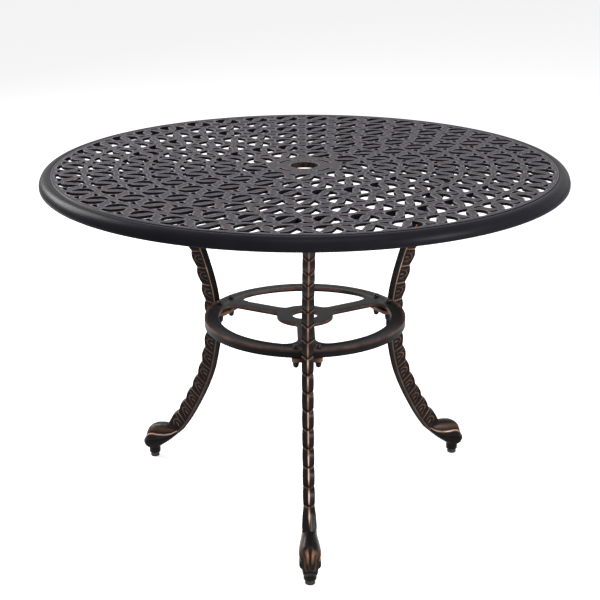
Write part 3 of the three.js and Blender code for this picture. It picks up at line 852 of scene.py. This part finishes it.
def hoof_mesh():
    """The hoof: a domed upper that ends in a ledge, over a narrower sole with a blunt toe."""
    places, *columns = np.array(hoof_stations, float).T
    hoof_steps = 72
    halves = []
    for i in range(hoof_steps + 1):
        x = places[0] + (places[-1] - places[0]) * i / hoof_steps
        sole, ledge, crown, wide, cuff, low = [np.interp(x, places, column) for column in columns]
        rise, under = crown - ledge, max(ledge - sole, 0.5)
        toe = smooth_step(x, 3, 12)
        worn = 1 - smooth_step(x, 7, 12)
        toe_rub = toe * (1 - smooth_step(x, 12, 18))
        cleft = 2.4 * toe * (1 - smooth_step(x, 21, 24))
        # Third numbers below 0, under the ledge, on the dome and in the cleft, are painted shade;
        # the ledge's high rub is partly a painted highlight
        outline = [
            (0.0, sole, 0.0), (0.62 * low, sole, 0.0), (0.92 * low, sole + 0.08 * under, 0.0),
            (low, sole + 0.3 * under, -0.5), (low, sole + 0.6 * under, -0.8),
            (cuff, sole + 0.66 * under, -0.3),
            (0.4 * cuff + 0.6 * wide - 0.5, ledge - 0.14 * under, -0.2),
            (wide - 0.6, ledge - 1.0, 0.2 * worn), (wide, ledge, 0.75 * worn),
            (wide - 0.3, ledge + 1.2, 0.9 * worn), (0.93 * wide, ledge + 0.1 * rise + 0.9, -0.1),
            (0.88 * wide, ledge + 0.32 * rise, 0.05), (0.77 * wide, ledge + 0.6 * rise, 0.13),
            (0.6 * wide, ledge + 0.82 * rise, 0.03),
            (0.42 * wide, ledge + 0.94 * rise, -0.05 + 0.4 * toe_rub),
            (0.27 * wide, ledge + 0.985 * rise, 0.02 + 0.5 * toe_rub),
            (0.13 * wide, ledge + rise - 0.5 * cleft, 0.06 * toe), (0.0, crown - cleft, -0.3),
        ]
        halves.append([(foot_radius + x, y, z, rub) for y, z, rub in outline])
    mesh = carved_body(halves)
    for _ in range(2):
        bmesh.ops.smooth_vert(
            mesh, verts=mesh.verts, factor=0.2, use_axis_x=True, use_axis_y=True, use_axis_z=True)
    return mesh


def arc(x, y, radius, from_angle, to_angle, steps):
    """Points along an arc, angles in degrees, both ends included."""
    span = to_angle - from_angle
    angles = [math.radians(from_angle + span * i / steps) for i in range(steps + 1)]
    return [(x + radius * math.cos(a), y + radius * math.sin(a)) for a in angles]


def rounded_outline(x, length, width, corner):
    """Corners of a rectangle with rounded corners, with its middle at x."""
    along, across = length / 2 - corner, width / 2 - corner
    quarters = ((1, 1, 0), (-1, 1, 90), (-1, -1, 180), (1, -1, 270))
    return [point for sign_x, sign_y, start in quarters for point in arc(
        x + sign_x * along, sign_y * across, corner, start, start + 90, 6)]


def soft_plate(outline, bottom, thickness):
    """A flat plate with softened upper and lower edges, its coat a little rubbed all over."""
    mesh = bmesh.new()
    rubbed = mesh.verts.layers.float.new("rubbed")
    corners, faces, number = triangulate(outline, [], [])
    tops, bottoms = [new_row(mesh, corners, z) for z in (bottom + thickness, bottom)]
    for corner in [*tops, *bottoms]:
        corner[rubbed] = 0.3
    for face in faces:
        mesh.faces.new([tops[i] for i in face])
        mesh.faces.new([bottoms[i] for i in reversed(face)])
    for i in range(len(outline)):
        a, b = number[i], number[(i + 1) % len(outline)]
        mesh.faces.new((tops[a], tops[b], bottoms[b], bottoms[a]))
    bmesh.ops.recalc_face_normals(mesh, faces=mesh.faces)
    level_edges = [e for e in mesh.edges if e.calc_face_angle(0) > math.radians(60)
                   and abs(e.verts[0].co.z - e.verts[1].co.z) < 1e-6]
    bmesh.ops.bevel(mesh, geom=level_edges, offset=0.8 * mm, segments=2, affect="EDGES", profile=0.5)
    return mesh


def rubbed_through(tree, patches, start, end, least, most):
    """How far each place is rubbed, and what that leaves bare, more on some patches than others."""
    rubbed = add(tree, "ShaderNodeAttribute", attribute_name="rubbed").outputs["Fac"]
    patchy = add(tree, "ShaderNodeMapRange", {
        "Value": patches, "From Min": start, "From Max": end, "To Min": least, "To Max": most})
    bare = add(tree, "ShaderNodeMath", {0: rubbed, 1: patchy}, operation="MULTIPLY", use_clamp=True)
    return rubbed, bare


def antique_bronze():
    """Antique bronze finish: a near-black brown coat on cast aluminium, hand rubbed to copper.

    Raised beads and ridges carry the copper and the flats stay dark with a soft sheen. Below 0 the
    rub number is painted shade, near-black and matt, and the palest copper is a painted highlight.
    """
    material, tree, shader, _, patches, base = new_finish(
        "antique_bronze_coat", "#0e0c0d", "#1b1412", 26, (0.26, 0.38), grain_mm=2.0,
        bump=(0.2, 0.3), specular=0.09)
    rubbed, bare = rubbed_through(tree, patches, 0.3, 0.7, 0.55, 1.1)
    # Painted shade where the rub number is below 0
    painted_shade = add(tree, "ShaderNodeMath", {0: rubbed, 1: -1.0}, operation="MULTIPLY", use_clamp=True)
    # The pale tone where the rub is highest is a painted highlight
    painted_highlight = add(tree, "ShaderNodeMapRange", {"Value": bare, "From Min": 0.5, "From Max": 1.0})
    cover = add(tree, "ShaderNodeMapRange", {"Value": bare, "From Min": 0.0, "From Max": 0.6})
    copper = colour("#86604c")
    for share, over in ((patches, "#a57a63"), (painted_highlight, "#e6c8b8")):
        copper = add(tree, "ShaderNodeMix", {
            "Factor": share, "A": copper, "B": colour(over)}, data_type="RGBA")
    for share, over in ((painted_shade, colour("#020202")), (cover, copper)):
        base = add(tree, "ShaderNodeMix", {"Factor": share, "A": base, "B": over}, data_type="RGBA")
    grainy = shader.inputs["Roughness"].links[0].from_socket
    matt = add(tree, "ShaderNodeMath", {0: painted_shade, 1: 0.4, 2: grainy}, operation="MULTIPLY_ADD")
    fill(tree, shader, {"Base Color": base, "Roughness": matt})
    return material


bronze = antique_bronze()
ring_low, ring_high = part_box("ring_stretcher")
ring_top = ring_high.z / mm
ring_radius = ring_high.x / mm
ring_band = 30.0
ring_bolt_radius = ring_radius - ring_band / 2
bracket_thickness = 8.0
bracket_bottom = ring_low.z / mm - 0.3 - bracket_thickness
neck_from = ring_bolt_radius + 8
neck_to = [p for p in spine if p.y < bracket_bottom + bracket_thickness][-1].x
for side, bearing in leg_bearings.items():
    socket = [(0, 10.0), (11.8, 10.0), (12.8, 11.0), (13.0, 24.0), (13.0, 44.0), (0, 44.0)]
    plates = {
        "wings": (rounded_outline(ring_bolt_radius + 2, 32, 62, 8),
                  bracket_bottom, bracket_thickness),
        "neck": ([(neck_from, -10), (neck_to, -10), (neck_to, 10), (neck_from, 10)],
                 bracket_bottom, bracket_thickness),
        "flange": (rounded_outline(leg_bolt_radius, 44, 62, 6),
                   flange_top - flange_thickness, flange_thickness),
    }
    stem = unite(piece(f"{side}_leg_casting", leg_mesh(), 50), [
        piece("hoof", hoof_mesh()), revolve("socket", socket, 32, foot_radius),
        *[piece(name, soft_plate(*sizes)) for name, sizes in plates.items()],
    ])
    stem.data.transform(Matrix.Rotation(math.radians(bearing), 4, "Z"))
    stem.data.materials.append(bronze)
    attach(stem, "table")
    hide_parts(f"{side}_leg")

# Ring between the legs: one aluminium casting, an inverted channel with three spokes and an eye
# for the umbrella pole. Its dished top is charcoal and the bead round its edge is rubbed to copper.
eye_radius, eye_hole = 59.0, 27.5
spoke_half = 18.0
ring_inner = ring_radius - ring_band
eye_fillet, ring_fillet = 8.0, 25.0
ring_plate_bottom = ring_top - 8.0
skirt_top, skirt_bottom = ring_top - 4, ring_low.z / mm
ring_edge, ring_edge_drop = 0.9, 1.2  # the softened edge round the ring and its openings
ring_bead = 2.4


def sector_points(bearing):
    """The opening between two spokes, with its fillets."""
    ring_across = spoke_half + ring_fillet
    ring_along = math.sqrt((ring_inner - ring_fillet) ** 2 - ring_across ** 2)
    eye_across = spoke_half + eye_fillet
    eye_along = math.sqrt((eye_radius + eye_fillet) ** 2 - eye_across ** 2)
    ring_turn = math.degrees(math.atan2(ring_across, ring_along))
    eye_turn = math.degrees(math.atan2(eye_across, eye_along))
    first = [*arc(eye_along, eye_across, eye_fillet, 180 + eye_turn, 270, 4),
             *arc(ring_along, ring_across, ring_fillet, -90, ring_turn, 8)]
    second = [at_bearing(120 - math.degrees(math.atan2(y, x)), math.hypot(x, y))
              for x, y in reversed(first)]
    outline = [*first, *arc(0, 0, ring_inner, ring_turn, 120 - ring_turn, 36)[1:-1], *second,
               *arc(0, 0, eye_radius, 120 - eye_turn, eye_turn, 14)[1:-1]]
    return [at_bearing(bearing, x, y) for x, y in outline]


def ring_heights(points, distances):
    """The ring's face: dished between the bead outside and the edge inside."""
    radii = np.array([p.length for p in points])
    edge = np.clip(1 - distances / ring_edge, 0, 1) ** 2 * ring_edge_drop
    across = np.clip((radii - ring_inner) / ring_band, 0, 1)
    dish = np.where(radii > ring_inner, 1.6 * np.sin(math.pi * np.clip(across / 0.93, 0, 1)), 0)
    return ring_top - 0.35 - edge - dish + 0.35 * (radii > ring_radius - ring_bead)


ring_holes = [circle_points(eye_hole, 48), *[sector_points(b) for b in leg_bearings.values()]]
ring_outline = circle_points(ring_radius, 180)
ring_plate = pierced_plate(
    ring_outline, ring_holes, [ring_outline], ring_heights, ring_plate_bottom, flat_place, True, 6.0)
bmesh.ops.recalc_face_normals(ring_plate, faces=ring_plate.faces)
skirt_outline = [(ring_radius - back, z) for back, z in (
    (4, skirt_bottom + 0.6), (3.4, skirt_bottom), (0.6, skirt_bottom), (0.05, skirt_bottom + 0.6),
    (0.05, skirt_top), (4, skirt_top))]
post_outline = [(0, skirt_bottom), (8, skirt_bottom), (8, skirt_top), (0, skirt_top)]
ring_piece = unite(piece("ring_with_pole_eye", ring_plate), [
    revolve("skirt", skirt_outline, 180),
    *[revolve("post", post_outline, 24, *at_bearing(bearing, ring_bolt_radius, across))
      for bearing, across in bolt_places],
])


def ring_coat():
    """The ring's coat: charcoal brown on the flats, rubbed to copper on the outer bead and edges."""
    material, tree, shader, _, patches, flat = new_finish(
        "charcoal_bronze_coat", "#0c0b0e", "#171418", 40, (0.32, 0.48), grain_mm=2.0,
        bump=(0.2, 0.3), specular=0.07)
    _, bare = rubbed_through(tree, patches, 0.35, 0.65, 0.3, 1.0)
    fill(tree, shader, {"Base Color": add(tree, "ShaderNodeMix", {
        "Factor": bare, "A": flat, "B": colour("#8a6656")}, data_type="RGBA")})
    return material


# The outer bead and the sides of the openings are where the coat is rubbed through
corners = corner_places(ring_piece)
reaches, levels = np.hypot(corners[:, 0], corners[:, 1]), corners[:, 2]
on_bead = (reaches > ring_radius - 1.0) & (levels > ring_top - 1.3)
at_opening = (gaps(corners[:, :2], ring_holes) < 0.3) & (levels > ring_plate_bottom + 0.5)
store(ring_piece, "rubbed", np.where(on_bead, 0.5, np.where(at_opening, 0.42, 0.0)))
ring_piece.data.materials.append(ring_coat())
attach(ring_piece, "table")
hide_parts("ring_stretcher")

# Fasteners: M6 steel. Round-headed bolts go down through the ring into black domed nuts below each
# bracket, and hexagon bolts go up through the flanges into the top. All come in pairs at a leg.
bolt_radius = 3.0
washer_radius, washer_thickness = 6.2, 1.4


def steel(name, dark, light, smooth):
    """Plated or blackened steel: a clean metal with fine turning marks in its gloss."""
    material, _, shader, *_ = new_finish(name, dark, light, 1.2, (smooth, smooth + 0.14))
    shader.inputs["Metallic"].default_value = 0.9
    return material


def hexagon(bottom, height, radius):
    """A hexagon head with its corners turned down at both ends."""
    mesh = bmesh.new()
    return tube(mesh, [
        new_row(mesh, circle_points(radius * share, 6), bottom + up)
        for up, share in ((0, 0.94), (0.5, 1.0), (height - 0.6, 1.0), (height, 0.88))])


def washer(bottom):
    """A flat ring with softened outer edges."""
    top_level = bottom + washer_thickness
    return revolve("washer", [
        (bore_radius, bottom), (washer_radius - 0.2, bottom), (washer_radius, bottom + 0.3),
        (washer_radius, top_level - 0.3), (washer_radius - 0.2, top_level),
        (bore_radius, top_level)], 28)


def pair_at_leg(body, radius):
    """A fastener set twice, on both sides of a leg that points along x."""
    mesh = bmesh.new()
    for shift in ((radius, -bolt_spacing / 2, 0), (0, bolt_spacing, 0)):
        body.data.transform(Matrix.Translation(Vector(shift) * mm))
        mesh.from_mesh(body.data)
    bpy.data.objects.remove(body)
    return piece("pair", mesh)


top_washer_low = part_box("front_top_washer_1")[0].z / mm
nut_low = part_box("front_ring_nut_1")[0].z / mm
nut_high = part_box("front_ring_nut_1")[1].z / mm
bolt_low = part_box("front_ring_bolt_1")[0].z / mm
upper_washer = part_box("front_ring_upper_washer_1")[0].z / mm
lower_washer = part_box("front_ring_lower_washer_1")[0].z / mm
head_top = top_washer_low - 0.3
shank_top = rib_bottom + 8
seat = upper_washer + washer_thickness + 0.3
black = steel("blackened_steel", "#141416", "#26262a", 0.28)
bronzed = steel("bronzed_steel", "#302d30", "#403b3e", 0.38)
zinc = steel("zinc_plated_steel", "#8f9196", "#b4b6ba", 0.3)
hexagon_bolt = unite(piece("head", hexagon(head_top - 4, 4, 5.8), 30), [revolve("shank", [
    (0, head_top - 1), (bolt_radius, head_top - 1), (bolt_radius, shank_top - 0.5),
    (bolt_radius - 0.5, shank_top), (0, shank_top)], 20)])
round_head = [
    (6, 0), (5.9, 0.6), (5.3, 1.4), (4.2, 2.1), (2.6, 2.5), (1.6, 2.6), (1.4, 1.2), (0, 1.2)]
round_bolt = revolve("round_bolt", [
    (0, bolt_low), (bolt_radius - 0.4, bolt_low), (bolt_radius, bolt_low + 0.5), (bolt_radius, seat),
    *[(radius, seat + up) for radius, up in round_head]], 28)
nut_dome = [
    (0, 0), (2.0, 0.2), (3.8, 1.2), (5.2, 2.9), (5.9, 5.0), (5.9, 7.2), (6.4, 7.8), (6.5, 8.6)]
domed_nut = revolve("domed_nut", [
    *[(radius, nut_low + up) for radius, up in nut_dome], (6.5, nut_high - 0.8), (5.9, nut_high),
    (bore_radius, nut_high), (bore_radius, nut_low + 3.5), (0, nut_low + 3.5)], 24)
fasteners = {
    "top_bolt": (hexagon_bolt, leg_bolt_radius, zinc, "zinc_steel"),
    "top_washer": (washer(top_washer_low), leg_bolt_radius, zinc, "zinc_steel"),
    "ring_bolt": (round_bolt, ring_bolt_radius, bronzed, "black_steel"),
    "ring_upper_washer": (washer(upper_washer), ring_bolt_radius, bronzed, "black_steel"),
    "ring_lower_washer": (washer(lower_washer), ring_bolt_radius, black, "black_steel"),
    "ring_nut": (domed_nut, ring_bolt_radius, black, "black_steel"),
}
for kind, (body, radius, finish, slot) in fasteners.items():
    pair = pair_at_leg(body, radius)
    made = grow(f"{kind}s", around_axis, {
        "Body": pair, "Count": len(leg_bearings), "Finish": finish,
        "First Bearing": math.radians(leg_bearings["right"])})
    bpy.data.objects.remove(pair)
    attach(made, "table")
    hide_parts(*[f"{side}_{kind}_{i}" for side in leg_bearings for i in (1, 2)])

# Levelling feet: a zinc-plated stem that screws into each hoof, with a black nylon glide moulded
# on its lower end: matt, very slightly mottled and scuffed. The table stands on the three glides.
nylon = new_finish("moulded_black_nylon", "#101011", "#1e1e20", 3, 0.55, bump=(0.2, 0.2))[0]
stem_radius = 4.0
for side, bearing in leg_bearings.items():
    x, y = at_bearing(bearing, foot_radius)
    glide_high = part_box(f"{side}_glide")[1].z / mm
    stem_low, stem_high = [corner.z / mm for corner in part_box(f"{side}_levelling_stem")]
    glide = revolve(f"{side}_foot_glide", [
        (0, 0), (8.6, 0), (9.5, 0.5), (10, 1.6), (10, glide_high - 1.2), (9.6, glide_high - 0.4),
        (8.8, glide_high), (4.3, glide_high), (4.3, 4), (0, 4)], 40, x, y)
    glide.data.materials.append(nylon)
    rod = revolve(f"{side}_foot_stem", [
        (0, stem_low), (stem_radius - 0.6, stem_low), (stem_radius, stem_low + 0.6),
        (stem_radius, stem_high - 0.8), (stem_radius - 0.8, stem_high), (0, stem_high)], 24, x, y)
    rod.data.materials.append(zinc)
    for made, node, slot in (
            (glide, f"{side}_glide", "black_plastic"),
            (rod, f"{side}_levelling_stem", "zinc_steel")):
        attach(made, f"{side}_foot")
        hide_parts(node)

# Studio: a pale floor that fades to white for the camera, soft lamps at both sides, and the
# camera at the photograph's place.
floor_mesh = bmesh.new()
bmesh.ops.create_grid(floor_mesh, x_segments=1, y_segments=1, size=30)
floor = piece("floor", floor_mesh)
floor_paint = bpy.data.materials.new("pale_floor")
tree = emptied_tree(floor_paint)
matt = add(tree, "ShaderNodeBsdfDiffuse", {"Color": (0.85, 0.85, 0.85, 1)})
path = add(tree, "ShaderNodeLightPath")
lift = add(tree, "ShaderNodeMath", {0: path.outputs["Is Camera Ray"], 1: 0.5}, operation="MULTIPLY")
glow = add(tree, "ShaderNodeEmission", {"Strength": lift})
both = add(tree, "ShaderNodeAddShader", {0: matt, 1: glow})
add(tree, "ShaderNodeOutputMaterial", {"Surface": both})
floor.data.materials.append(floor_paint)

world = bpy.data.worlds.new("studio")
bpy.context.scene.world = world
tree = emptied_tree(world)
path = add(tree, "ShaderNodeLightPath")
seen = path.outputs["Is Camera Ray"]
for ray in ("Is Glossy Ray", "Is Transmission Ray"):
    seen = add(tree, "ShaderNodeMath", {0: seen, 1: path.outputs[ray]}, operation="MAXIMUM")
strength = add(tree, "ShaderNodeMapRange", {"Value": seen, "To Min": 0.45, "To Max": 1.0})
back = add(tree, "ShaderNodeBackground", {"Color": (1, 1, 1, 1), "Strength": strength})
add(tree, "ShaderNodeOutputWorld", {"Surface": back})

lamp_aim = Vector((0, 0, 0.4))
lamps = {
    "left_softbox": ((-2.5, 1.6, 2.1), 1.8, 150),
    "right_softbox": ((2.8, -2.2, 1.5), 0.9, 110),
    "overhead_softbox": ((0.3, -1.1, 3.2), 1.7, 42),
}
for name, (place, size, power) in lamps.items():
    light = bpy.data.lights.new(name, "AREA")
    light.size = size
    light.energy = power
    lamp = bpy.data.objects.new(name, light)
    lamp.location = place
    lamp.rotation_euler = (lamp_aim - Vector(place)).to_track_quat("-Z", "Y").to_euler()
    bpy.context.collection.objects.link(lamp)

camera_distance, camera_height, camera_bearing = 2.8535, 1.4105, 268.8
camera_pitch, camera_turn, camera_roll = 0.3269, -0.0036, 0.0045
focal_pixels, photo_size = 1438.7, 600
camera = bpy.data.objects.new("camera", bpy.data.cameras.new("camera"))
camera.data.lens = camera.data.sensor_width * focal_pixels / photo_size
camera.location = (*at_bearing(camera_bearing, camera_distance), camera_height)
camera.rotation_euler = (
    Matrix.Rotation(math.radians(camera_bearing) + math.pi / 2 - camera_turn, 3, "Z")
    @ Matrix.Rotation(math.pi / 2 - camera_pitch, 3, "X")
    @ Matrix.Rotation(-camera_roll, 3, "Z")).to_euler()
bpy.context.collection.objects.link(camera)
bpy.context.scene.camera = camera
bpy.context.scene.view_settings.view_transform = "Standard"
